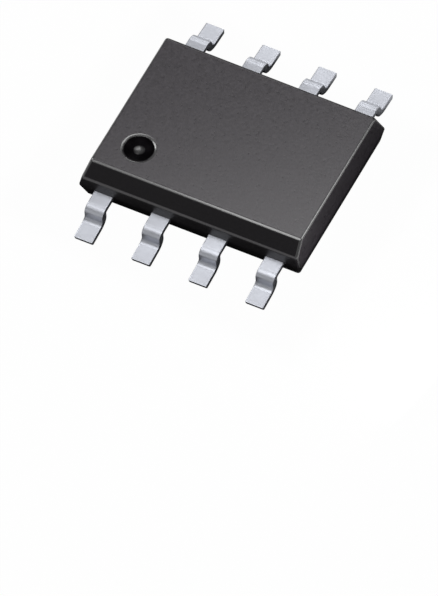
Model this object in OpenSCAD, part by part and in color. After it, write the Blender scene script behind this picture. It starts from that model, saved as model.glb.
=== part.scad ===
// Eight-lead surface-mount voltage regulator: a moulded body round a copper lead frame,
// gull-wing leads along both long sides, and a bare heat pad flush with the underside.
// Millimetres. X runs along the rows of leads, Y across them, Z up from the board.
// The origin is on the board, below the middle of the body. Pin 1 is at -X, -Y, pins 1 to 4
// follow along -Y, and pins 5 to 8 come back along +Y.

/* [Body] */
// Length of the body at the parting line, along the rows of leads
body_l = 4.94; // [4.6:0.02:5.3]
// Width of the body at the parting line, across the leads
body_w = 3.93; // [3.7:0.01:4.1]
// Height of the moulded body
body_h = 1.45; // [1.3:0.05:1.6]
// Gap between the board and the underside of the body
standoff = 0.1; // [0.04:0.01:0.14]
// Draft of the sides above the parting line, in degrees
upper_draft = 8.5; // [4:0.5:12]
// Draft of the sides below the parting line, in degrees
lower_draft = 8; // [4:0.5:12]
// Width and depth of the 45 degree bevel along the pin 1 side
bevel = 0.37; // [0.2:0.01:0.44]

/* [Pin 1 dimple] */
// Diameter of the dimple where it meets the top
dimple_d = 0.75; // [0.5:0.05:0.9]
// Depth of the dimple
dimple_depth = 0.13; // [0.06:0.01:0.2]
// Distance from the end of the top to the middle of the dimple
dimple_from_end = 0.75; // [0.6:0.01:1]
// Distance from the upper edge of the bevel to the middle of the dimple
dimple_from_bevel = 0.65; // [0.55:0.005:1]

/* [Leads] */
// Spacing of the leads along a row
lead_pitch = 1.27; // [1.2:0.01:1.3]
// Width of a lead
lead_w = 0.41; // [0.33:0.01:0.5]
// Thickness of the lead frame
lead_t = 0.19; // [0.17:0.01:0.22]
// Height of the middle of the lead frame above the board
lead_z = 0.67; // [0.64:0.01:0.8]
// Distance over the toes of the two rows
toe_span = 5.96; // [5.8:0.02:6.2]
// Outward lean of the upright part of a lead, in degrees
leg_lean = 5; // [0:1:12]
// Downward tilt of the foot towards its toe, in degrees
foot_tilt = 8; // [0:1:8]
// Straight length of the foot
foot_l = 0.37; // [0.25:0.01:0.45]
// Inside radius of the upper bend
upper_bend_r = 0.05; // [0.04:0.01:0.1]
// Inside radius of the lower bend
lower_bend_r = 0.16; // [0.08:0.01:0.18]

/* [Lead anchors] */
// Depth that a lead reaches into the body
anchor_reach = 0.55; // [0.45:0.01:0.65]
// Width of the wide inner end
anchor_w = 0.7; // [0.6:0.02:0.9]
// Length of the wide inner end
anchor_l = 0.3; // [0.2:0.01:0.35]

/* [Heat pad] */
// Length of the pad along the rows of leads
pad_l = 3.0; // [2.4:0.05:3.4]
// Width of the pad across the leads
pad_w = 2.65; // [2:0.05:2.8]
// Thickness of the pad
pad_t = 0.2; // [0.15:0.01:0.25]
// Length of the tie-bar stub at each end of the pad
stub_l = 0.18; // [0.1:0.02:0.3]
// Width of the tie-bar stub
stub_w = 0.32; // [0.2:0.02:0.5]

/* [Die] */
// Length of the die along the rows of leads
die_l = 1.7; // [1.5:0.05:2]
// Width of the die across the leads
die_w = 1.3; // [1:0.05:1.5]
// Thickness of the die
die_t = 0.2; // [0.15:0.01:0.25]
// Thickness of the solder under the die
solder_t = 0.03; // [0.02:0.005:0.05]
// Width of the solder that shows round the die
solder_margin = 0.08; // [0.04:0.01:0.15]

/* [Bond wires] */
// Diameter of a bond wire
wire_d = 0.05; // [0.03:0.005:0.06]
// Diameter of the ball that joins a wire to the die
ball_d = 0.11; // [0.08:0.01:0.14]
// Length of the stitch that joins a wire to a lead
stitch_l = 0.16; // [0.1:0.01:0.18]
// Width of the stitch
stitch_w = 0.1; // [0.07:0.01:0.14]
// Spacing of the balls along an edge of the die
ball_pitch = 0.4; // [0.25:0.01:0.45]
// Distance from the edge of the die to the middle of a ball
ball_inset = 0.1; // [0.08:0.01:0.2]
// Rise of a wire's loop above the straight line between its ends
loop_rise = 0.3; // [0.2:0.01:0.4]

/* [Hidden] */
PINS_A_SIDE = 4;
PINS = 2 * PINS_A_SIDE;
$fn = 64;

// Amount by which a cutting shape runs past the face that it cuts
overcut = 0.2;

// Heights above the board; the body parts along the upper face of the lead frame
body_top = standoff + body_h;
lead_top = lead_z + lead_t / 2;
parting_z = lead_top;
pad_top = standoff + pad_t;
die_bottom = pad_top + solder_t;
die_top = die_bottom + die_t;

// Half sizes of the top of the body, and where the bevel meets it
upper_inset = (body_top - parting_z) * tan(upper_draft);
top_half_l = body_l / 2 - upper_inset;
bevel_low_y = -body_w / 2 + (body_top - bevel - parting_z) * tan(upper_draft);
bevel_top_y = bevel_low_y + bevel;

// Radius of the ball that leaves the dimple
dimple_r = (pow(dimple_d / 2, 2) + pow(dimple_depth, 2)) / (2 * dimple_depth);

// A lead turns down at its upper bend, and back up at its lower bend
turn_down = 90 - leg_lean;
turn_up = turn_down - foot_tilt;
upper_mid_r = upper_bend_r + lead_t / 2;
lower_mid_r = lower_bend_r + lead_t / 2;
// The straight leg takes up the drop that the bends and the foot leave, so that the toe meets the board
bend_drop = upper_mid_r * (1 - cos(turn_down)) + lower_mid_r * (cos(foot_tilt) - cos(turn_down));
toe_drop = foot_l * sin(foot_tilt) + lead_t / 2 * cos(foot_tilt);
leg_l = (lead_z - bend_drop - toe_drop) / sin(turn_down);
// The shoulder takes up the reach that they leave, so that the toe ends at half the span
bend_reach = upper_mid_r * sin(turn_down) + lower_mid_r * (sin(turn_down) - sin(foot_tilt));
toe_reach = foot_l * cos(foot_tilt) + lead_t / 2 * sin(foot_tilt);
shoulder_end = toe_span / 2 - bend_reach - leg_l * cos(turn_down) - toe_reach;
anchor_start = body_w / 2 - anchor_reach;

// Place of each pin's lead, ball and stitch
function pin_column(n) = n <= PINS_A_SIDE ? n - (PINS_A_SIDE + 1) / 2 : PINS + 1 - n - (PINS_A_SIDE + 1) / 2;
function pin_side(n) = n <= PINS_A_SIDE ? -1 : 1;
function lead_x(n) = pin_column(n) * lead_pitch;
function ball_at(n) = [pin_column(n) * ball_pitch, pin_side(n) * (die_w / 2 - ball_inset)];
function stitch_at(n) = [lead_x(n), pin_side(n) * (anchor_start + anchor_l / 2)];

// One half of the body: it narrows on all four sides from the parting line over its height
module drafted_half(height, draft) {
    inset = height * tan(draft);
    intersection() {
        rotate([90, 0, 0])
            linear_extrude(height = body_w + 2 * overcut, center = true)
                drafted_outline(body_l, height, inset);
        rotate([90, 0, 90])
            linear_extrude(height = body_l + 2 * overcut, center = true)
                drafted_outline(body_w, height, inset);
    }
}

// Outline of the body across one direction, on the parting line
module drafted_outline(width, height, inset) {
    polygon([
        [-width / 2, 0],
        [width / 2, 0],
        [width / 2 - inset, height],
        [-width / 2 + inset, height]
    ]);
}

// Block that cuts the bevel along the pin 1 side
module bevel_cutter() {
    reach = bevel + 2 * overcut;
    translate([0, bevel_top_y, body_top])
        rotate([45, 0, 0])
            translate([-body_l, -reach, 0])
                cube([2 * body_l, 2 * reach, reach]);
}

// Ball that cuts the pin 1 dimple
module dimple_cutter() {
    translate([
        -top_half_l + dimple_from_end,
        bevel_top_y + dimple_from_bevel,
        body_top + dimple_r - dimple_depth
    ])
        sphere(r = dimple_r);
}

module mould_body() {
    color("#3b3a3c")
        difference() {
            union() {
                translate([0, 0, parting_z])
                    drafted_half(body_top - parting_z, upper_draft);
                translate([0, 0, parting_z])
                    mirror([0, 0, 1])
                        drafted_half(parting_z - standoff, lower_draft);
            }
            bevel_cutter();
            dimple_cutter();
            pad_shape(overcut);
            solder_shape();
            die_shape();
            for (n = [1:PINS]) {
                lead_shape(n);
                wire_shape(n);
            }
        }
}

// The pad with its two stubs, run down past its underside by an amount
module pad_shape(below) {
    translate([0, 0, standoff - below])
        linear_extrude(height = pad_t + below)
            union() {
                square([pad_l, pad_w], center = true);
                square([pad_l + 2 * stub_l, stub_w], center = true);
            }
}

module exposed_pad() {
    color("#e1e5ee")
        pad_shape(0);
}

module solder_shape() {
    translate([0, 0, pad_top])
        linear_extrude(height = solder_t)
            square([die_l + 2 * solder_margin, die_w + 2 * solder_margin], center = true);
}

module die_attach() {
    color("#9da2ab")
        solder_shape();
}

module die_shape() {
    translate([0, 0, die_bottom])
        linear_extrude(height = die_t)
            square([die_l, die_w], center = true);
}

module die() {
    color("#4a5568")
        die_shape();
}

// A straight run of the lead strip along +X; what follows starts at its end
module strip_run(length, width) {
    translate([0, -width / 2, -lead_t / 2])
        cube([length, width, lead_t]);
    translate([length, 0, 0])
        children();
}

// A bend of the lead strip, down for a turn of 1 and up for -1; what follows starts at its end
module strip_bend(angle, inside_r, turn, width) {
    mid_r = inside_r + lead_t / 2;
    translate([0, 0, -turn * mid_r])
        rotate([turn * 90, 0, 0])
            rotate([0, 0, 90 - angle])
                rotate_extrude(angle = angle)
                    translate([inside_r, -width / 2])
                        square([lead_t, width]);
    translate([0, 0, -turn * mid_r])
        rotate([0, turn * angle, 0])
            translate([0, 0, turn * mid_r])
                children();
}

// One lead, from its anchor inside the body to its toe on the board
module lead_shape(n) {
    translate([lead_x(n), 0, lead_z])
        rotate([0, 0, pin_side(n) * 90])
            translate([anchor_start, 0, 0]) {
                strip_run(anchor_l, anchor_w);
                strip_run(shoulder_end - anchor_start, lead_w)
                    strip_bend(turn_down, upper_bend_r, 1, lead_w)
                        strip_run(leg_l, lead_w)
                            strip_bend(turn_up, lower_bend_r, -1, lead_w)
                                strip_run(foot_l, lead_w);
            }
}

module lead(n) {
    color("#c6cad5")
        lead_shape(n);
}

// One bond wire: a ball on the die, an arched loop, and a stitch on the lead
module wire_shape(n) {
    from = ball_at(n);
    to = stitch_at(n);
    bearing = atan2(to[1] - from[1], to[0] - from[0]);
    run = norm(to - from);
    rise = lead_top - die_top;
    chord = norm([run, rise]);
    slope = atan2(rise, run);
    loop_r = (pow(chord / 2, 2) + pow(loop_rise, 2)) / (2 * loop_rise);
    half_turn = asin(chord / 2 / loop_r);
    translate([from[0], from[1], die_top])
        rotate([0, 0, bearing]) {
            cylinder(d = ball_d, h = wire_d);
            translate([run - stitch_l / 2, -stitch_w / 2, rise])
                cube([stitch_l, stitch_w, wire_d]);
            translate([0, 0, wire_d / 2])
                rotate([90, -slope, 0])
                    translate([chord / 2, loop_rise - loop_r, 0])
                        rotate([0, 0, 90 - half_turn])
                            rotate_extrude(angle = 2 * half_turn)
                                translate([loop_r, 0])
                                    circle(d = wire_d);
        }
}

module bond_wire(n) {
    color("#d9b65c")
        wire_shape(n);
}

mould_body();
exposed_pad();
die_attach();
die();
for (n = [1:PINS]) {
    lead(n);
    bond_wire(n);
}
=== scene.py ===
import math

import bmesh
import bpy
from bpy.props import FloatProperty, FloatVectorProperty, IntProperty, PointerProperty
from mathutils import Matrix, Vector


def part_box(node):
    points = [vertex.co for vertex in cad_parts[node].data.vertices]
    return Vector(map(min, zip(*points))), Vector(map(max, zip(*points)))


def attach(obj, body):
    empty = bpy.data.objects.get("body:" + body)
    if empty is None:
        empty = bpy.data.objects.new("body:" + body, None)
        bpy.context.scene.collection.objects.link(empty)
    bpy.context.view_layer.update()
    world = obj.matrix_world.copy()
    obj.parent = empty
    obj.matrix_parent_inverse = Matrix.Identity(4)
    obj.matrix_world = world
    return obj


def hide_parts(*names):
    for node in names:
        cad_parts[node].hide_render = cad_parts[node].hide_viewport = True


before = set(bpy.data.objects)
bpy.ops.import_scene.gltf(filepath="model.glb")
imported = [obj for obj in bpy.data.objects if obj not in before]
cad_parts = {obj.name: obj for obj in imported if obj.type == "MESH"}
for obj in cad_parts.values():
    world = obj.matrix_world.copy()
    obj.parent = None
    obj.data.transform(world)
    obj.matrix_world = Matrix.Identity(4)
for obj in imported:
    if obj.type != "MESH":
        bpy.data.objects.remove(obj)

bl_info = {
    "name": "Eight-lead voltage regulator",
    "version": (1, 0, 0),
    "blender": (4, 5, 0),
    "location": "View3D > Sidebar > Regulator",
    "description": "Dresses the packed frame of a small moulded regulator: body, leads, heat pad and stage",
    "category": "Object",
}

# Pieces are shaped in millimetres, because the tools' own limits suit that size, and then scaled to metres.
MM = 0.001
BODY = "root"
PINS_A_SIDE = 4
ALL_PINS = range(1, 2 * PINS_A_SIDE + 1)
BOTH_SIDES = (-1.0, 1.0)

# Limits in shaping, in millimetres, as shares of a normal and as angles between faces
MERGE_DISTANCE = 0.00002
LEVEL_MARGIN = 0.001
RIM_MARGIN = 0.02
POCKET_OVERCUT = 0.02
FACING = 0.9
FACING_DOWN = 0.99
STAMPED_EDGE = math.radians(60)
BODY_EDGE = math.radians(30)
RIM_EDGE = math.radians(20)
SMOOTH_BELOW = math.radians(32)

# Number of faces across each kind of rounding, and round the ball that cuts the dimple
STAMPED_STEPS = 2
CORNER_STEPS = 6
FILLET_STEPS = 5
PARTING_STEPS = 2
RIM_STEPS = 3
BALL_STEPS = 72

# Face attributes that hold how burnished and how rough the compound is, and how dark painted shade makes it
POLISH = "polish"
BLAST = "blast"
PAINTED_SHADE = "shade"
# How rough the bevel, the upper and lower halves of the ends, and the lead sides are left, and how dark
# painted shade makes each
BEVEL_ROUGHNESS_AND_PAINTED_SHADE = (0.8, 0.75)
END_ROUGHNESS_AND_PAINTED_SHADE = (0.0, 0.16)
LOWER_END_ROUGHNESS_AND_PAINTED_SHADE = (0.1, 0.4)
LEAD_SIDE_ROUGHNESS_AND_PAINTED_SHADE = (0.2, 0.7)
# A face is part of a flat side within this angle
SAME_SIDE = math.radians(4.5)
# Rounded edges are burnished from this tilt on, and not where they look to the rear by more than this share
BURNISHED_FROM = math.radians(18)
# Rounded edges that look to the rear get the lead sides' roughness and painted shade instead, which keeps
# them dark
REAR_EDGE = 0.2
# The rounded foot of the bevel tilts further than the bevel, is burnished less, and is darkened with
# painted shade
BEVEL_FOOT_TILT = math.radians(47)
BEVEL_FOOT_BURNISH = 0.35
BEVEL_FOOT_PAINTED_SHADE = 0.45

# Roughness of the compound, of the blasted sides, of the pin 1 mark and of the spot at its bottom
COMPOUND_ROUGHNESS = (0.26, 0.36)
BLASTED_ROUGHNESS = 0.9
MARK_ROUGHNESS = 0.5
SPOT_ROUGHNESS = 0.32
# Darkest and lightest tone of the resin, the range of its grain that they span, and its tone under painted
# shade
COMPOUND_TONES = (0.8, 1.35)
RESIN_GRAIN = (0.35, 0.7)
TONE_UNDER_PAINTED_SHADE = 0.15
# Where the mark and its spot fade out, as shares of the mark's radius
MARK_FADE = (0.94, 1.0)
SPOT_FADE = (0.08, 0.4)
# Share of a height that counts in the distance from the mark, so that it ends above the underside
MARK_HEIGHT_SHARE = 0.3

# Roughness and tones of the tin, and tones and spread of roughness of the sealed pieces
LEAD_ROUGHNESS = (0.38, 0.48)
PAD_ROUGHNESS = (0.3, 0.42)
TIN_TONES = (0.93, 1.05)
INNER_TONES = (0.88, 1.1)
INNER_SPREAD = (0.85, 1.15)

# Camera sensor, and the nearest and furthest sight as shares of the camera's distance
SENSOR = 36.0
NEAREST = 0.1
FURTHEST = 4.0
# Strength of the even dome, and the width of the floor in metres
DOME = 0.3
FLOOR_SIZE = 1.6
# Painted shade on the floor round the part, seen by reflections and bounced light: its reach, turn and
# shift, and the share of the colour that is left
FLOOR_SHADE_REACH = (("X", 3.35), ("Y", 2.95))
FLOOR_SHADE_TURN = 0.12
FLOOR_SHADE_SHIFT = 0.3
FLOOR_TONE_IN_PAINTED_SHADE = 0.02
# Where the painted shade fades out, and where the white that reflections show sets in, with 1 at the
# shade's reach
SHADE_FADE = (1.0, 1.15)
GLOSS_RISE = (1.15, 2.0)
# How white the floor is to the camera and in reflections
FLOOR_LIFT = 0.985
FLOOR_GLOSS_LIFT = 0.9

# Lamps: name, direction from the part, distance, width, height, brightness with 1 as plain white, aim, and
# whether reflections show it
LAMPS = (
    ("Top panel", (-0.2, 0.3, 0.93), 20.0, 11.3, 6.7, 3.15, (3.57, -3.53, 1.5), True),
    ("Front panel", (0.08, -0.62, 0.78), 24.0, 14.0, 14.0, 3.0, (0.0, 0.0, 1.5), True),
    ("Front left panel", (-0.33, -0.59, 0.74), 24.0, 7.0, 14.0, 0.8, (0.0, 0.0, 1.5), True),
    ("Left strip", (-0.72, -0.12, 0.68), 24.0, 9.0, 10.0, 6.0, (-1.6, -0.9, 1.5), True),
    ("Right panel", (0.78, 0.3, 0.53), 24.0, 8.5, 17.0, 3.4, (2.3, -3.7, 1.5), True),
    ("End lamp", (1.0, -0.2, 0.06), 3.6, 2.6, 2.6, 9.5, (2.45, -2.3, 1.2), False),
    ("Rear panel", (-0.2, 0.68, 0.7), 24.0, 12.0, 8.0, 3.0, (0.0, 2.6, 0.3), True),
    ("Rear strip", (-0.2, 0.956, 0.2), 24.0, 14.0, 6.0, 2.4, (0.0, 2.2, 0.7), True),
    ("Key", (-0.6, 0.65, 0.47), 30.0, 12.0, 12.0, 10.0, (0.0, 0.0, 1.0), False),
)

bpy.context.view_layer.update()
BODY_LOW, BODY_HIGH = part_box("mould_body")
PAD_LOW, PAD_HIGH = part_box("exposed_pad")
LEAD_LOW, LEAD_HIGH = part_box("lead_1")
SECOND_LEAD_LOW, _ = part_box("lead_2")
WIRE_NODES = [f"bond_wire_{pin}" for pin in ALL_PINS]
INNER_NODES = ["die_attach", "die"] + WIRE_NODES


def length(name, description, default):
    """A length in metres."""
    return FloatProperty(name=name, description=description, default=default, min=0.0, unit="LENGTH",
                         precision=6)


def place(name, description, default):
    """A place along an axis in metres, on either side of the middle."""
    return FloatProperty(name=name, description=description, default=default, unit="LENGTH", precision=6)


def angle(name, description, degrees):
    """An angle, given in degrees and kept in radians."""
    return FloatProperty(name=name, description=description, default=math.radians(degrees), unit="ROTATION")


def colour(name, description, default):
    """A colour in linear light."""
    return FloatVectorProperty(name=name, description=description, default=default, size=3, subtype="COLOR",
                               min=0.0, max=1.0)


# Sizes and colours


class RegulatorLeads(bpy.types.PropertyGroup):
    """Sizes and finish of the formed leads"""
    width: length("Width", "Width of a lead outside the body", 0.41 * MM)
    thickness: length("Thickness", "Thickness of the lead frame", 0.19 * MM)
    pitch: length("Pitch", "Spacing of the leads along a row", SECOND_LEAD_LOW.x - LEAD_LOW.x)
    frame_top: length("Frame height", "Height of the lead frame's upper face", LEAD_HIGH.z)
    inner_end: length("Inner end", "Distance from the middle line to the inner end", -LEAD_HIGH.y)
    anchor_length: length("Anchor length", "Length of the wide inner end", 0.3 * MM)
    anchor_width: length("Anchor width", "Width of the wide inner end", LEAD_HIGH.x - LEAD_LOW.x)
    shoulder_end: length("Shoulder end", "Distance from the middle line to the upper bend", 2.2232 * MM)
    upper_radius: length("Upper bend", "Inside radius of the upper bend", 0.05 * MM)
    lower_radius: length("Lower bend", "Inside radius of the lower bend", 0.16 * MM)
    lean: angle("Leg lean", "Outward lean of the leg", 5.0)
    foot_tilt: angle("Foot tilt", "Downward tilt of the foot", 8.0)
    leg_length: length("Leg length", "Straight length of the leg", 0.1624 * MM)
    foot_length: length("Foot length", "Straight length of the foot", 0.37 * MM)
    edge: length("Edge rounding", "Rounding of the stamped edges under the plating", 0.022 * MM)
    bend_steps: IntProperty(name="Bend steps", description="Faces along a bend", default=14, min=4)
    tin: colour("Tin", "Colour of the tin plating", (0.505, 0.52, 0.565))


class RegulatorPad(bpy.types.PropertyGroup):
    """Sizes and finish of the heat pad"""
    length: length("Length", "Length of the pad without its stubs", 3.0 * MM)
    stub_width: length("Stub width", "Width of the tie-bar stubs", 0.32 * MM)
    edge: length("Edge rounding", "Rounding of the pad's edges", 0.01 * MM)
    tin: colour("Tin", "Colour of the pad's plating", (0.6, 0.62, 0.67))


class RegulatorBody(bpy.types.PropertyGroup):
    """Sizes and finish of the moulded body"""
    parting: length("Parting line", "Height of the parting line above the board", LEAD_HIGH.z)
    upper_draft: angle("Upper draft", "Draft of the sides above the parting line", 8.5)
    lower_draft: angle("Lower draft", "Draft of the sides below the parting line", 8.0)
    bevel: length("Bevel", "Width and depth of the bevel along the pin 1 side", 0.37 * MM)
    corner: length("Corner rounding", "Rounding of the upright corners", 0.06 * MM)
    fillet: length("Fillet", "Rounding of the edges of the top, bevel and underside", 0.055 * MM)
    parting_edge: length("Parting edge", "Rounding of the edge along the parting line", 0.012 * MM)
    dimple_x: place("Dimple along", "Place of the dimple along the body", -1.603 * MM)
    dimple_y: place("Dimple across", "Place of the dimple across the body", -0.883 * MM)
    dimple_diameter: length("Dimple diameter", "Diameter of the pin 1 dimple inside its rim", 0.64 * MM)
    dimple_depth: length("Dimple depth", "Depth of the pin 1 dimple", 0.13 * MM)
    dimple_rim: length("Dimple rim", "Rounding of the dimple's rim", 0.055 * MM)
    compound: colour("Compound", "Colour of the moulding compound", (0.0235, 0.0205, 0.0242))


class RegulatorStage(bpy.types.PropertyGroup):
    """Camera and floor"""
    azimuth: angle("Azimuth", "Direction of the camera round the part", 35.58)
    elevation: angle("Elevation", "Height of the camera above the board", 69.18)
    roll: angle("Roll", "Turn of the camera about its own axis", -9.82)
    squeeze: angle("Squeeze", "Lean of the picture's sideways axis, which squeezes it upright", 31.13)
    distance: length("Distance", "Distance from the camera to the point it aims at", 300.0 * MM)
    aim: FloatVectorProperty(name="Aim", description="Point on the board at the middle of the picture",
                             default=(1.154 * MM, -3.058 * MM, 0.0), size=3, subtype="XYZ", unit="LENGTH",
                             precision=6)
    lens: FloatProperty(name="Lens", description="Focal length in millimetres", default=776.1, min=1.0)
    floor: colour("Floor", "Colour of the floor", (0.42, 0.42, 0.42))


# Small helpers


def mm(value):
    """A length in metres as millimetres."""
    return value / MM


def begin():
    """Goes to object mode and leaves nothing selected."""
    if bpy.context.mode != "OBJECT":
        bpy.ops.object.mode_set(mode="OBJECT")
    bpy.ops.object.select_all(action="DESELECT")


def only(obj):
    """Makes obj the one selected object."""
    begin()
    obj.select_set(True)
    bpy.context.view_layer.objects.active = obj


def edit(obj, kind="FACE"):
    """Opens obj for editing with nothing selected."""
    only(obj)
    bpy.ops.object.mode_set(mode="EDIT")
    bpy.ops.mesh.select_mode(type=kind)
    bpy.ops.mesh.select_all(action="DESELECT")


def close():
    """Goes back to object mode."""
    bpy.ops.object.mode_set(mode="OBJECT")


def apply_place():
    """Puts the active object's place, turn and scale into its mesh."""
    bpy.ops.object.transform_apply(location=True, rotation=True, scale=True)


def hand_back(obj, mesh, items):
    """Hands a selection back to the open mesh, and stops the script where it is empty."""
    mesh.select_flush_mode()
    bmesh.update_edit_mesh(obj.data)
    if not any(item.select for item in items):
        raise RuntimeError(f"{obj.name}: nothing was found to work on")


def pick_faces(obj, test):
    """Selects the faces of the open mesh whose middle and normal pass the test."""
    mesh = bmesh.from_edit_mesh(obj.data)
    mesh.normal_update()
    for face in mesh.faces:
        face.select_set(bool(test(face.calc_center_median(), face.normal)))
    hand_back(obj, mesh, mesh.faces)


def pick_edges(obj, test):
    """Selects the edges of the open mesh that pass the test."""
    mesh = bmesh.from_edit_mesh(obj.data)
    mesh.normal_update()
    for edge in mesh.edges:
        edge.select_set(False)
    for edge in mesh.edges:
        if test(edge):
            edge.select_set(True)
    hand_back(obj, mesh, mesh.edges)


def edge_turn(edge):
    """The angle between an edge's two faces, or nothing where it doesn't have two."""
    return edge.calc_face_angle(0.0) if len(edge.link_faces) == 2 else 0.0


def extrude(step):
    """Extrudes what is selected by a step in millimetres."""
    bpy.ops.mesh.extrude_region_move(TRANSFORM_OT_translate={"value": step, "orient_type": "GLOBAL"})


def bend(steps, turn, centre):
    """Spins what is selected about a line along X. Blender's spin counts its angle the other way round."""
    bpy.ops.mesh.spin(steps=steps, angle=-turn, center=centre, axis=(1.0, 0.0, 0.0))


def outwards(obj):
    """Merges doubles and turns all faces of a mesh outwards."""
    edit(obj)
    bpy.ops.mesh.select_all(action="SELECT")
    bpy.ops.mesh.remove_doubles(threshold=MERGE_DISTANCE)
    bpy.ops.mesh.normals_make_consistent(inside=False)
    close()


def round_edges(obj, test, radius, steps, clamp=False):
    """Rounds the edges that pass the test."""
    edit(obj, "EDGE")
    pick_edges(obj, test)
    bpy.ops.mesh.bevel(offset=radius, segments=steps, profile=0.5, affect="EDGES", clamp_overlap=clamp)
    close()
    outwards(obj)


def round_stamped_edges(obj, radius):
    """Rounds all sharp edges of a stamped piece."""
    round_edges(obj, lambda edge: edge_turn(edge) > STAMPED_EDGE, radius, STAMPED_STEPS, clamp=True)


def apply_modifier(obj, modifier):
    """Applies a modifier of obj."""
    only(obj)
    bpy.ops.object.modifier_apply(modifier=modifier.name)


def cut(obj, tool):
    """Takes the shape of tool out of obj and deletes tool."""
    modifier = obj.modifiers.new("Cut", "BOOLEAN")
    modifier.operation = "DIFFERENCE"
    modifier.solver = "EXACT"
    modifier.object = tool
    apply_modifier(obj, modifier)
    bpy.data.objects.remove(tool)


def copy_in_mm(obj):
    """A copy of a finished object or node, merged and scaled to millimetres."""
    double = obj.copy()
    double.data = obj.data.copy()
    double.parent = None
    bpy.context.scene.collection.objects.link(double)
    double.hide_viewport = False
    only(double)
    double.scale = (1 / MM, 1 / MM, 1 / MM)
    apply_place()
    outwards(double)
    return double


def pocket_tool(piece, seated):
    """A copy of a piece that cuts its pocket, run down a little where the piece seats on an open plane."""
    tool = copy_in_mm(piece)
    if seated:
        edit(tool)
        pick_faces(tool, lambda middle, normal: normal.z < -FACING_DOWN)
        extrude((0.0, 0.0, -POCKET_OVERCUT))
        close()
    return tool


def require_closed(obj):
    """Stops the script where a mesh isn't a closed shell."""
    mesh = bmesh.new()
    mesh.from_mesh(obj.data)
    open_edges = sum(not edge.is_manifold for edge in mesh.edges)
    volume = mesh.calc_volume(signed=True)
    mesh.free()
    if open_edges or volume <= 0:
        raise RuntimeError(f"{obj.name}: {open_edges} open edges, volume {volume:.4f}")


def finish_piece(obj, name, node, material):
    """Shades a piece modelled in millimetres, scales it to metres and ties it to the frame."""
    require_closed(obj)
    only(obj)
    bpy.ops.object.shade_smooth_by_angle(angle=SMOOTH_BELOW)
    weights = obj.modifiers.new("Even shading", "WEIGHTED_NORMAL")
    weights.keep_sharp = True
    weights.thresh = 0.0001
    apply_modifier(obj, weights)
    split = obj.modifiers.new("Split faces", "TRIANGULATE")
    split.min_vertices = 5
    split.keep_custom_normals = True
    apply_modifier(obj, split)
    obj.scale = (MM, MM, MM)
    apply_place()
    obj.name = name
    obj.data.name = name
    obj.data.materials.clear()
    obj.data.materials.append(material)
    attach(obj, BODY)
    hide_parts(node)


# Shader building


def feed(tree, socket, value):
    """Sets a socket to a written value, or links it where the value is the output of a node."""
    if isinstance(value, bpy.types.NodeSocket):
        tree.links.new(value, socket)
    else:
        socket.default_value = value


def place_node(tree, kind, x, y, **values):
    """Adds a node and feeds its named inputs."""
    node = tree.nodes.new(kind)
    node.location = (x, y)
    for key, value in values.items():
        feed(tree, node.inputs[key], value)
    return node


def math_node(tree, operation, x, y, *values):
    """The result of a math node on values that are written or come from nodes."""
    node = place_node(tree, "ShaderNodeMath", x, y)
    node.operation = operation
    for socket, value in zip(node.inputs, values):
        feed(tree, socket, value)
    return node.outputs["Value"]


def vector_node(tree, operation, x, y, *values):
    """Adds a vector math node on values that are written or come from nodes."""
    node = place_node(tree, "ShaderNodeVectorMath", x, y)
    node.operation = operation
    for socket, value in zip(node.inputs, values):
        feed(tree, socket, value)
    return node


def millimetre_coordinates(tree, x, y):
    """Object coordinates in millimetres."""
    source = place_node(tree, "ShaderNodeTexCoord", x, y)
    scale = vector_node(tree, "SCALE", x + 180, y, source.outputs["Object"])
    scale.inputs["Scale"].default_value = 1 / MM
    return scale.outputs["Vector"]


def blend(tree, x, y, factor, low, high):
    """Mixes two values, each written or from a node, by a mask."""
    return place_node(tree, "ShaderNodeMix", x, y, Factor=factor, A=low, B=high).outputs["Result"]


def tint(tree, x, y, factor, low, high):
    """Mixes two colours, each written or from a node, by a mask."""
    node = place_node(tree, "ShaderNodeMix", x, y)
    node.data_type = "RGBA"
    feed(tree, node.inputs["Factor"], factor)
    ends = [socket for socket in node.inputs if socket.type == "RGBA"]
    for socket, value in zip(ends, (low, high)):
        feed(tree, socket, (*value, 1.0) if isinstance(value, tuple) else value)
    return [socket for socket in node.outputs if socket.type == "RGBA"][0]


def ramp(tree, x, y, source, low, high, start=0.3, stop=0.7):
    """Maps a value to a range of numbers, from the middle range of a grain unless another is given."""
    node = place_node(tree, "ShaderNodeMapRange", x, y, Value=source)
    for key, value in (("From Min", start), ("From Max", stop), ("To Min", low), ("To Max", high)):
        node.inputs[key].default_value = value
    return node.outputs["Result"]


def bump(tree, x, y, height, strength, depth):
    """A bump of a height given in millimetres."""
    node = place_node(tree, "ShaderNodeBump", x, y, Strength=strength, Distance=depth * MM, Height=height)
    return node.outputs["Normal"]


def from_attribute(tree, x, y, name):
    """A mask that is kept on the faces of a piece."""
    node = place_node(tree, "ShaderNodeAttribute", x, y)
    node.attribute_name = name
    return node.outputs["Fac"]


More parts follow.
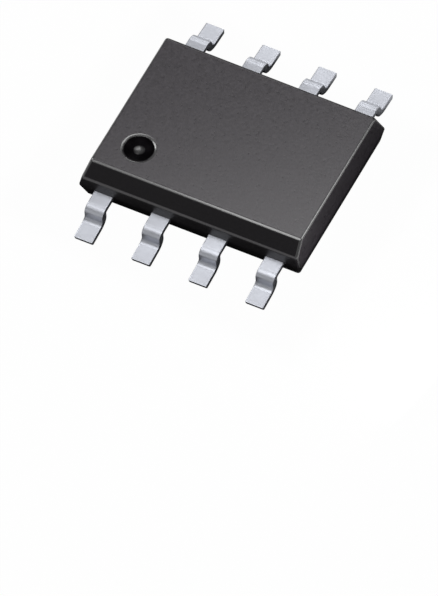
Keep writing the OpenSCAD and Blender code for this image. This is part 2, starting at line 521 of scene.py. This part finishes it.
def grain_group():
    """Fine grain: two noises of set sizes as a height, and a third as a mask of broad patches."""
    name = "Surface grain"
    if name in bpy.data.node_groups:
        return bpy.data.node_groups[name]
    group = bpy.data.node_groups.new(name, "ShaderNodeTree")
    for label, default in (("Fine scale", 60.0), ("Coarse scale", 18.0), ("Patch scale", 1.2),
                           ("Coarse share", 0.4)):
        socket = group.interface.new_socket(label, in_out="INPUT", socket_type="NodeSocketFloat")
        socket.default_value = default
    for label in ("Height", "Patches"):
        group.interface.new_socket(label, in_out="OUTPUT", socket_type="NodeSocketFloat")
    start = place_node(group, "NodeGroupInput", -900, 0)
    end = place_node(group, "NodeGroupOutput", 700, 0)
    spot = millimetre_coordinates(group, -900, 300)

    def noise(y, scale, detail, roughness):
        node = place_node(group, "ShaderNodeTexNoise", -500, y, Vector=spot, Scale=start.outputs[scale],
                          Detail=detail, Roughness=roughness)
        return node.outputs["Fac"]

    fine = noise(300, "Fine scale", detail=3.0, roughness=0.6)
    coarse = noise(60, "Coarse scale", detail=2.0, roughness=0.5)
    patches = noise(-180, "Patch scale", detail=4.0, roughness=0.55)
    height = blend(group, -200, 200, start.outputs["Coarse share"], fine, coarse)
    group.links.new(height, end.inputs["Height"])
    group.links.new(patches, end.inputs["Patches"])
    return group


def grain(tree, x, y, fine, coarse, patches, share_of_coarse):
    """The grain group in a material, with that material's own sizes: its height and its patches."""
    node = tree.nodes.new("ShaderNodeGroup")
    node.node_tree = grain_group()
    node.location = (x, y)
    for key, value in (("Fine scale", fine), ("Coarse scale", coarse), ("Patch scale", patches),
                       ("Coarse share", share_of_coarse)):
        node.inputs[key].default_value = value
    return node.outputs["Height"], node.outputs["Patches"]


def tones(base, shares):
    """The base colour made darker or lighter by each share."""
    return [tuple(min(1.0, value * share) for value in base) for share in shares]


def new_material(name):
    """A material with its principled shader."""
    material = bpy.data.materials.new(name)
    material.use_nodes = True
    return material, material.node_tree, material.node_tree.nodes["Principled BSDF"]


def distance_from_mark(tree, x, y, centre):
    """The distance in millimetres from the middle of the pin 1 mark, with heights counted for less."""
    source = millimetre_coordinates(tree, x, y)
    flat = vector_node(tree, "MULTIPLY", x + 360, y, source, (1.0, 1.0, MARK_HEIGHT_SHARE))
    middle = (*centre, BODY_HIGH.z / MM * MARK_HEIGHT_SHARE)
    return vector_node(tree, "DISTANCE", x + 540, y, flat.outputs["Vector"], middle).outputs["Value"]


def compound_material(s):
    """Moulding compound: near-black resin with a fine grain, rougher where its faces are marked so and
    darkened there with painted shade, with burnished edges and a pin 1 mark darkened with painted shade
    that has a shiny spot at its bottom."""
    base = tuple(s.compound)
    material, tree, shader = new_material("Moulding compound")
    height, _ = grain(tree, -1500, 0, fine=40.0, coarse=15.0, patches=0.9, share_of_coarse=0.6)
    edges = from_attribute(tree, -1500, -300, POLISH)
    blasted = from_attribute(tree, -1500, -500, BLAST)
    shade = from_attribute(tree, -1500, -600, PAINTED_SHADE)
    away = distance_from_mark(tree, -1900, -700, (mm(s.dimple_x), mm(s.dimple_y)))
    radius = mm(s.dimple_diameter) / 2

    def fade(x, y, inner, outer, shares):
        return ramp(tree, x, y, away, inner, outer, *(radius * share for share in shares))

    mark = fade(-1100, -700, 1.0, 0.0, MARK_FADE)
    spot = fade(-1100, -900, 1.0, 0.0, SPOT_FADE)
    # Painted shade in the pin 1 mark: outside its shiny spot the bowl is made fully metallic with
    # near-black resin, so it stays black
    painted_bowl_shade = fade(-800, -900, 0.0, 1.0, SPOT_FADE)
    by_grain = ramp(tree, -1300, 300, height, 0.0, 1.0, *RESIN_GRAIN)
    resin = tint(tree, -1100, 300, by_grain, *tones(base, COMPOUND_TONES))
    # Painted shade: the resin goes to its darkest tone on burnished edges, on the pin 1 mark and where
    # faces carry painted shade
    smooth = math_node(tree, "MAXIMUM", -900, -300, edges, mark)
    painted_shade_mask = math_node(tree, "MAXIMUM", -800, -300, smooth, shade)
    resin = tint(tree, -700, 300, painted_shade_mask, resin, *tones(base, [TONE_UNDER_PAINTED_SHADE]))
    rough = ramp(tree, -1100, 0, height, *COMPOUND_ROUGHNESS)
    rough = blend(tree, -800, 0, blasted, rough, BLASTED_ROUGHNESS)
    mark_rough = blend(tree, -800, -200, spot, MARK_ROUGHNESS, SPOT_ROUGHNESS)
    feed(tree, shader.inputs["Base Color"], resin)
    feed(tree, shader.inputs["Roughness"], blend(tree, -600, 0, mark, rough, mark_rough))
    feed(tree, shader.inputs["Normal"], bump(tree, -300, -300, height, strength=0.6, depth=0.006))
    # Painted shade also sets the metallic value, which with the near-black resin takes the reflection off
    # those faces
    feed(tree, shader.inputs["Metallic"], blend(tree, -600, -700, mark, shade, painted_bowl_shade))
    feed(tree, shader.inputs["Coat Weight"], blend(tree, -600, -500, mark, edges, spot))
    shader.inputs["IOR"].default_value = 1.6
    shader.inputs["Coat Roughness"].default_value = 0.16
    shader.inputs["Coat IOR"].default_value = 1.8
    return material


def tin_material(name, base, roughness):
    """Matte tin plating: pale grey metal with a fine crystal grain."""
    material, tree, shader = new_material(name)
    height, patches = grain(tree, -900, 0, fine=70.0, coarse=24.0, patches=2.5, share_of_coarse=0.4)
    by_patch = ramp(tree, -700, 200, patches, 0.0, 1.0)
    feed(tree, shader.inputs["Base Color"], tint(tree, -500, 200, by_patch, *tones(base, TIN_TONES)))
    feed(tree, shader.inputs["Roughness"], ramp(tree, -500, -50, height, *roughness))
    feed(tree, shader.inputs["Normal"], bump(tree, -300, -300, height, strength=0.35, depth=0.002))
    shader.inputs["Metallic"].default_value = 1.0
    return material


def inner_material(name, base, metallic, rough):
    """Finish of a piece that is sealed in the body."""
    material, tree, shader = new_material(name)
    height, patches = grain(tree, -900, 0, fine=40.0, coarse=12.0, patches=3.0, share_of_coarse=0.5)
    by_patch = ramp(tree, -700, 200, patches, 0.0, 1.0)
    feed(tree, shader.inputs["Base Color"], tint(tree, -500, 200, by_patch, *tones(base, INNER_TONES)))
    roughness = [rough * share for share in INNER_SPREAD]
    feed(tree, shader.inputs["Roughness"], ramp(tree, -500, -50, height, *roughness))
    shader.inputs["Metallic"].default_value = metallic
    return material


# Modelling


def lead_direction(turn):
    """Direction of a front lead's strip after it has turned down by an angle."""
    return Vector((0.0, -math.cos(turn), -math.sin(turn)))


def model_lead(s):
    """One front lead on the middle line, in millimetres: a strip extruded and spun through two bends."""
    thickness = mm(s.thickness)
    point = Vector((0.0, -mm(s.inner_end), mm(s.frame_top) - thickness / 2))
    begin()
    bpy.ops.mesh.primitive_plane_add(size=1.0, location=point, rotation=(math.pi / 2, 0.0, 0.0))
    lead = bpy.context.object
    lead.scale = (mm(s.width), thickness, 1.0)
    apply_place()
    edit(lead)
    bpy.ops.mesh.select_all(action="SELECT")
    for reach in (mm(s.anchor_length), mm(s.shoulder_end - s.inner_end - s.anchor_length)):
        extrude(lead_direction(0.0) * reach)
        point += lead_direction(0.0) * reach
    down = math.pi / 2 - s.lean
    centre = point + Vector((0.0, 0.0, -(mm(s.upper_radius) + thickness / 2)))
    bend(s.bend_steps, down, centre)
    point = centre + Matrix.Rotation(down, 3, "X") @ (point - centre)
    leg = lead_direction(down) * mm(s.leg_length)
    extrude(leg)
    point += leg
    away = Matrix.Rotation(-math.pi / 2, 3, "X") @ lead_direction(down)
    centre = point + away * (mm(s.lower_radius) + thickness / 2)
    bend(s.bend_steps, s.foot_tilt - down, centre)
    extrude(lead_direction(s.foot_tilt) * mm(s.foot_length))
    close()
    outwards(lead)
    edit(lead)
    wing = mm(s.anchor_width - s.width) / 2
    anchor_y = -mm(s.inner_end + s.anchor_length)
    for side in BOTH_SIDES:
        pick_faces(lead, lambda middle, normal: normal.x * side > FACING and middle.y > anchor_y)
        extrude((side * wing, 0.0, 0.0))
    close()
    outwards(lead)
    round_stamped_edges(lead, mm(s.edge))
    return lead


class REGULATOR_OT_leads(bpy.types.Operator):
    """Models one formed lead and copies it to the eight places"""
    bl_idname = "regulator.leads"
    bl_label = "Leads"

    def execute(self, context):
        s = context.scene.regulator_leads
        tin = tin_material("Tin plating", tuple(s.tin), LEAD_ROUGHNESS)
        master = model_lead(s)
        for number in ALL_PINS:
            row, column = divmod(number - 1, PINS_A_SIDE)
            only(master)
            bpy.ops.object.duplicate(linked=False)
            lead = bpy.context.object
            bpy.ops.transform.translate(value=((column - (PINS_A_SIDE - 1) / 2) * mm(s.pitch), 0.0, 0.0))
            if row:
                bpy.ops.transform.rotate(value=math.pi, orient_axis="Z", center_override=(0.0, 0.0, 0.0))
            apply_place()
            finish_piece(lead, f"formed_lead_{number}", f"lead_{number}", tin)
        bpy.data.objects.remove(master)
        return {"FINISHED"}


class REGULATOR_OT_heat_pad(bpy.types.Operator):
    """Models the bare heat pad with a tie-bar stub at each end"""
    bl_idname = "regulator.heat_pad"
    bl_label = "Heat pad"

    def execute(self, context):
        s = context.scene.regulator_pad
        low, high = PAD_LOW / MM, PAD_HIGH / MM
        half_length = mm(s.length) / 2
        half_stub = mm(s.stub_width) / 2
        begin()
        bpy.ops.mesh.primitive_cube_add(size=1.0, location=(0.0, 0.0, (low.z + high.z) / 2))
        pad = bpy.context.object
        pad.scale = (2 * half_length, high.y - low.y, high.z - low.z)
        apply_place()
        edit(pad)
        for side in BOTH_SIDES:
            bpy.ops.mesh.select_all(action="SELECT")
            bpy.ops.mesh.bisect(plane_co=(0.0, side * half_stub, 0.0), plane_no=(0.0, 1.0, 0.0))
        for side in BOTH_SIDES:
            pick_faces(pad, lambda middle, normal: normal.x * side > FACING and abs(middle.y) < half_stub)
            extrude((side * (high.x - half_length), 0.0, 0.0))
        close()
        outwards(pad)
        round_stamped_edges(pad, mm(s.edge))
        tin = tin_material("Pad plating", tuple(s.tin), PAD_ROUGHNESS)
        finish_piece(pad, "bare_heat_pad", "exposed_pad", tin)
        return {"FINISHED"}


def upright(edge):
    """Whether an edge runs up a side of the body."""
    run = edge.verts[1].co - edge.verts[0].co
    return abs(run.z) > FACING * run.length


def draw_half(depth, draft):
    """Draws a moulded half out of the selected face, drafted and of a set depth."""
    bpy.ops.mesh.inset(thickness=depth * math.tan(draft), depth=depth, use_boundary=True,
                       use_even_offset=True)


def model_body(s):
    """The moulded body in millimetres: two drafted halves, the bevel and the fillets."""
    low, high = BODY_LOW / MM, BODY_HIGH / MM
    parting = mm(s.parting)
    rise = high.z - parting
    begin()
    bpy.ops.mesh.primitive_plane_add(size=1.0, location=(0.0, 0.0, parting))
    body = bpy.context.object
    body.scale = (high.x - low.x, high.y - low.y, 1.0)
    apply_place()
    edit(body)
    bpy.ops.mesh.select_all(action="SELECT")
    draw_half(rise, s.upper_draft)
    bpy.ops.mesh.select_mode(type="EDGE")
    pick_edges(body, lambda edge: edge.is_boundary)
    bpy.ops.mesh.edge_face_add()
    close()
    outwards(body)
    edit(body)
    pick_faces(body, lambda middle, normal: normal.z < -FACING)
    draw_half(parting - low.z, s.lower_draft)
    bevel_y = low.y + (rise - mm(s.bevel)) * math.tan(s.upper_draft) + mm(s.bevel)
    bpy.ops.mesh.select_all(action="SELECT")
    bpy.ops.mesh.bisect(plane_co=(0.0, bevel_y, high.z), plane_no=(0.0, -1.0, 1.0), use_fill=True,
                        clear_outer=True)
    close()
    outwards(body)

    def on_parting(edge):
        return all(abs(corner.co.z - parting) < LEVEL_MARGIN for corner in edge.verts)

    round_edges(body, lambda edge: upright(edge) and edge_turn(edge) > BODY_EDGE, mm(s.corner),
                CORNER_STEPS)
    round_edges(body, lambda edge: not upright(edge) and edge_turn(edge) > BODY_EDGE, mm(s.fillet),
                FILLET_STEPS)
    round_edges(body, on_parting, mm(s.parting_edge), PARTING_STEPS)
    return body


def cut_dimple(body, s):
    """Cuts the pin 1 dimple and rounds its rim."""
    radius = mm(s.dimple_diameter) / 2
    depth = mm(s.dimple_depth)
    ball = (radius ** 2 + depth ** 2) / (2 * depth)
    top = BODY_HIGH.z / MM
    centre = Vector((mm(s.dimple_x), mm(s.dimple_y), top - depth + ball))
    begin()
    bpy.ops.mesh.primitive_uv_sphere_add(radius=ball, segments=BALL_STEPS, ring_count=BALL_STEPS,
                                         location=centre)
    cut(body, bpy.context.object)

    def on_rim(edge):
        middle = (edge.verts[0].co + edge.verts[1].co) / 2
        away = (middle.xy - centre.xy).length
        near_rim = abs(away - radius) < RIM_MARGIN and abs(middle.z - top) < LEVEL_MARGIN
        return near_rim and edge_turn(edge) > RIM_EDGE

    round_edges(body, on_rim, mm(s.dimple_rim), RIM_STEPS)


def side_roughness_and_painted_shade(s):
    """The directions that the body's flat sides face, each with how rough that side is left and how dark
    painted shade makes it.
    """
    finishes = [(Vector((0.0, -1.0, 1.0)).normalized(), BEVEL_ROUGHNESS_AND_PAINTED_SHADE)]
    for draft, end_roughness_and_shade in ((s.upper_draft, END_ROUGHNESS_AND_PAINTED_SHADE), (0.0, LOWER_END_ROUGHNESS_AND_PAINTED_SHADE),
                              (-s.lower_draft, LOWER_END_ROUGHNESS_AND_PAINTED_SHADE)):
        flat = math.cos(draft)
        rise = math.sin(draft)
        for side in BOTH_SIDES:
            finishes.append((Vector((side * flat, 0.0, rise)), end_roughness_and_shade))
            finishes.append((Vector((0.0, side * flat, rise)), LEAD_SIDE_ROUGHNESS_AND_PAINTED_SHADE))
    return finishes


def mark_faces(body, s):
    """Marks how rough the bevel and the sides are, how dark painted shade makes them, and which rounded
    edges are burnished.
    """
    sides = side_roughness_and_painted_shade(s)
    near = math.cos(SAME_SIDE)
    nearly_level = math.cos(BURNISHED_FROM)
    bevel_foot = math.sin(BEVEL_FOOT_TILT)
    mark = Vector((mm(s.dimple_x), mm(s.dimple_y)))
    mark_reach = mm(s.dimple_diameter) / 2 + 2 * mm(s.dimple_rim)
    values = {BLAST: [], PAINTED_SHADE: [], POLISH: []}
    for face in body.data.polygons:
        # A face's finish holds its roughness and its painted shade
        finish = [amounts for normal, amounts in sides if face.normal.dot(normal) > near]
        in_mark = (face.center.xy - mark).length < mark_reach
        is_level = abs(face.normal.z) > (near if in_mark else nearly_level)
        # Rear-facing rounded edges take the lead sides' roughness and painted shade
        if not finish and not is_level and face.normal.y > REAR_EDGE:
            finish = [LEAD_SIDE_ROUGHNESS_AND_PAINTED_SHADE]
        rough, shade = finish[0] if finish else (0.0, 0.0)
        burnish = 0.0 if finish or is_level else 1.0
        # Painted shade on the bevel's rounded foot dims the highlight along it
        if face.normal.z > 0 and face.normal.y < -bevel_foot:
            burnish *= BEVEL_FOOT_BURNISH
            shade = max(shade, BEVEL_FOOT_PAINTED_SHADE)
        values[BLAST].append(rough)
        values[PAINTED_SHADE].append(shade)
        values[POLISH].append(burnish)
    for name, numbers in values.items():
        body.data.attributes.new(name, "FLOAT", "FACE").data.foreach_set("value", numbers)


class REGULATOR_OT_mould_body(bpy.types.Operator):
    """Models the moulded body and cuts the pockets that hold the other pieces"""
    bl_idname = "regulator.mould_body"
    bl_label = "Moulded body"

    def execute(self, context):
        s = context.scene.regulator_body
        body = model_body(s)
        cut_dimple(body, s)
        seated = [bpy.data.objects["bare_heat_pad"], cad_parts["die_attach"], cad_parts["die"]]
        leads = [bpy.data.objects[f"formed_lead_{pin}"] for pin in ALL_PINS]
        wires = [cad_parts[name] for name in WIRE_NODES]
        for piece in seated + leads + wires:
            cut(body, pocket_tool(piece, piece in seated))
        outwards(body)
        mark_faces(body, s)
        finish_piece(body, "moulded_body", "mould_body", compound_material(s))
        return {"FINISHED"}


class REGULATOR_OT_inner_pieces(bpy.types.Operator):
    """Gives the pieces sealed in the body their finishes"""
    bl_idname = "regulator.inner_pieces"
    bl_label = "Inner pieces"

    def execute(self, context):
        silicon = inner_material("Silicon", (0.09, 0.1, 0.13), metallic=0.6, rough=0.25)
        solder = inner_material("Die solder", (0.42, 0.42, 0.43), metallic=1.0, rough=0.45)
        gold = inner_material("Bond wire", (0.85, 0.58, 0.22), metallic=1.0, rough=0.22)
        for name in INNER_NODES:
            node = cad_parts[name]
            node.data.materials.clear()
            node.data.materials.append({"die": silicon, "die_attach": solder}.get(name, gold))
        return {"FINISHED"}


# Stage


def direction(azimuth, elevation):
    """The direction towards a point round the part, with azimuth 0 in front of the pin 1 side."""
    out = math.cos(elevation)
    return Vector((math.sin(azimuth) * out, -math.cos(azimuth) * out, math.sin(elevation)))


def place_camera(s):
    """A long camera at the picture's own angle, with its sideways axis leaned to give its squeeze."""
    data = bpy.data.cameras.new("Camera")
    data.sensor_width = SENSOR
    data.sensor_fit = "AUTO"
    data.lens = s.lens
    data.clip_start = s.distance * NEAREST
    data.clip_end = s.distance * FURTHEST
    camera = bpy.data.objects.new("Camera", data)
    holder = bpy.data.objects.new("Camera holder", None)
    for item in (camera, holder):
        bpy.context.scene.collection.objects.link(item)
    back = direction(s.azimuth, s.elevation)
    right = Vector((math.cos(s.azimuth), math.sin(s.azimuth), 0.0))
    up = back.cross(right)
    sideways = right * math.cos(s.roll) + up * math.sin(s.roll)
    upwards = up * math.cos(s.roll) - right * math.sin(s.roll)
    basis = Matrix((sideways, upwards, back)).transposed().to_4x4()
    basis.translation = Vector(s.aim) + back * s.distance
    lean = Matrix.Identity(4)
    lean[0][0] = math.cos(s.squeeze)
    lean[2][0] = math.sin(s.squeeze)
    camera.parent = holder
    camera.matrix_parent_inverse = basis @ lean @ basis.inverted()
    camera.location = basis.translation
    camera.rotation_mode = "QUATERNION"
    camera.rotation_quaternion = basis.to_quaternion()
    bpy.context.scene.camera = camera


def add_lamp(name, towards, distance, width, height, brightness, aim, reflected):
    """A soft panel lamp that looks at a point of the part, with its sizes in millimetres."""
    data = bpy.data.lights.new(name, "AREA")
    data.shape = "RECTANGLE"
    data.size = width * MM
    data.size_y = height * MM
    data.energy = brightness * math.pi * data.size * data.size_y
    lamp = bpy.data.objects.new(name, data)
    bpy.context.scene.collection.objects.link(lamp)
    back = Vector(towards).normalized()
    lamp.location = Vector(aim) * MM + back * distance * MM
    lamp.rotation_mode = "QUATERNION"
    lamp.rotation_quaternion = (-back).to_track_quat("-Z", "Y")
    lamp.visible_camera = False
    lamp.visible_glossy = reflected


def ways_of_seeing(tree, x, y):
    """One for what the camera sees, straight or through glass, and one for what reflections show."""
    path = place_node(tree, "ShaderNodeLightPath", x, y)
    seen = math_node(tree, "MAXIMUM", x + 250, y, path.outputs["Is Camera Ray"],
                     path.outputs["Is Transmission Ray"])
    return seen, path.outputs["Is Glossy Ray"]


def distance_from_part(tree, x, y):
    """How far out a point of the floor is, with 1 at the reach of the painted shade round the part."""
    point = millimetre_coordinates(tree, x - 600, y)
    turned = place_node(tree, "ShaderNodeMapping", x - 200, y, Vector=point,
                        Rotation=(0.0, 0.0, FLOOR_SHADE_TURN), Location=(0.0, FLOOR_SHADE_SHIFT, 0.0))
    split = place_node(tree, "ShaderNodeSeparateXYZ", x, y, Vector=turned.outputs["Vector"])
    distances = []
    for axis, reach in FLOOR_SHADE_REACH:
        size = math_node(tree, "ABSOLUTE", x + 200, y, split.outputs[axis])
        distances.append(math_node(tree, "DIVIDE", x + 400, y, size, reach))
    return math_node(tree, "MAXIMUM", x + 600, y, *distances)


def floor_material(base):
    """A floor that is white to the camera and, away from the part, in reflections, with a faint shadow, and
    painted shade round the part that reflections and bounced light see.
    """
    material, tree, shader = new_material("Floor")
    seen, mirrored = ways_of_seeing(tree, -900, 500)
    out = distance_from_part(tree, -1500, -100)
    # Painted shade: the floor's colour is darkened round the part
    clear = ramp(tree, -650, 0, out, 0.0, 1.0, *SHADE_FADE)
    feed(tree, shader.inputs["Base Color"], tint(tree, -400, 0, clear, *tones(base, [FLOOR_TONE_IN_PAINTED_SHADE, 1.0])))
    shader.inputs["Roughness"].default_value = 1.0
    shader.inputs["Specular IOR Level"].default_value = 0.0
    in_mirror = ramp(tree, -650, 250, out, 0.0, FLOOR_GLOSS_LIFT, *GLOSS_RISE)
    faint = math_node(tree, "MULTIPLY", -400, 300, mirrored, in_mirror)
    strong = math_node(tree, "MULTIPLY", -400, 500, seen, FLOOR_LIFT)
    lift = math_node(tree, "MAXIMUM", -150, 400, faint, strong)
    glow = place_node(tree, "ShaderNodeEmission", 0, -200, Strength=1.0)
    mix = place_node(tree, "ShaderNodeMixShader", 300, 0, Fac=lift)
    tree.links.new(shader.outputs["BSDF"], mix.inputs[1])
    tree.links.new(glow.outputs["Emission"], mix.inputs[2])
    tree.links.new(mix.outputs["Shader"], tree.nodes["Material Output"].inputs["Surface"])
    return material


def build_world():
    """White to the camera, and a dim even dome to everything else."""
    world = bpy.data.worlds.new("Studio")
    bpy.context.scene.world = world
    world.use_nodes = True
    tree = world.node_tree
    background = tree.nodes["Background"]
    seen, _ = ways_of_seeing(tree, -900, 300)
    feed(tree, background.inputs["Strength"], math_node(tree, "MAXIMUM", -150, 0, seen, DOME))
    background.inputs["Color"].default_value = (1.0, 1.0, 1.0, 1.0)


class REGULATOR_OT_stage(bpy.types.Operator):
    """Sets the floor, the lamps, the world and the camera"""
    bl_idname = "regulator.stage"
    bl_label = "Stage"

    def execute(self, context):
        s = context.scene.regulator_stage
        context.scene.view_settings.view_transform = "Standard"
        begin()
        bpy.ops.mesh.primitive_plane_add(size=FLOOR_SIZE, location=(0.0, 0.0, 0.0))
        floor = context.object
        floor.name = "floor"
        floor.data.materials.append(floor_material(tuple(s.floor)))
        build_world()
        for lamp in LAMPS:
            add_lamp(*lamp)
        place_camera(s)
        return {"FINISHED"}


# Panel and registration

GROUPS = (
    ("regulator_leads", RegulatorLeads),
    ("regulator_pad", RegulatorPad),
    ("regulator_body", RegulatorBody),
    ("regulator_stage", RegulatorStage),
)
PANEL_ROWS = (
    ("regulator.leads", "regulator_leads"),
    ("regulator.heat_pad", "regulator_pad"),
    ("regulator.mould_body", "regulator_body"),
    ("regulator.inner_pieces", None),
    ("regulator.stage", "regulator_stage"),
)


class REGULATOR_PT_panel(bpy.types.Panel):
    """Lists the pieces of the regulator"""
    bl_idname = "REGULATOR_PT_panel"
    bl_label = "Regulator"
    bl_space_type = "VIEW_3D"
    bl_region_type = "UI"
    bl_category = "Regulator"

    def draw(self, context):
        for operator, group in PANEL_ROWS:
            box = self.layout.box()
            box.operator(operator)
            if group:
                settings = getattr(context.scene, group)
                for key in settings.__annotations__:
                    box.prop(settings, key)


CLASSES = (
    REGULATOR_OT_leads,
    REGULATOR_OT_heat_pad,
    REGULATOR_OT_mould_body,
    REGULATOR_OT_inner_pieces,
    REGULATOR_OT_stage,
    REGULATOR_PT_panel,
)


def register():
    """Makes the settings, operators and panel known to Blender."""
    for name, group in GROUPS:
        bpy.utils.register_class(group)
        setattr(bpy.types.Scene, name, PointerProperty(type=group))
    for item in CLASSES:
        bpy.utils.register_class(item)


def unregister():
    """Takes the settings, operators and panel away again."""
    for item in reversed(CLASSES):
        bpy.utils.unregister_class(item)
    for name, group in reversed(GROUPS):
        delattr(bpy.types.Scene, name)
        bpy.utils.unregister_class(group)


def main():
    """Builds the pieces and the stage."""
    register()
    bpy.ops.regulator.leads()
    bpy.ops.regulator.heat_pad()
    bpy.ops.regulator.mould_body()
    bpy.ops.regulator.inner_pieces()
    bpy.ops.regulator.stage()


if __name__ == "__main__":
    main()
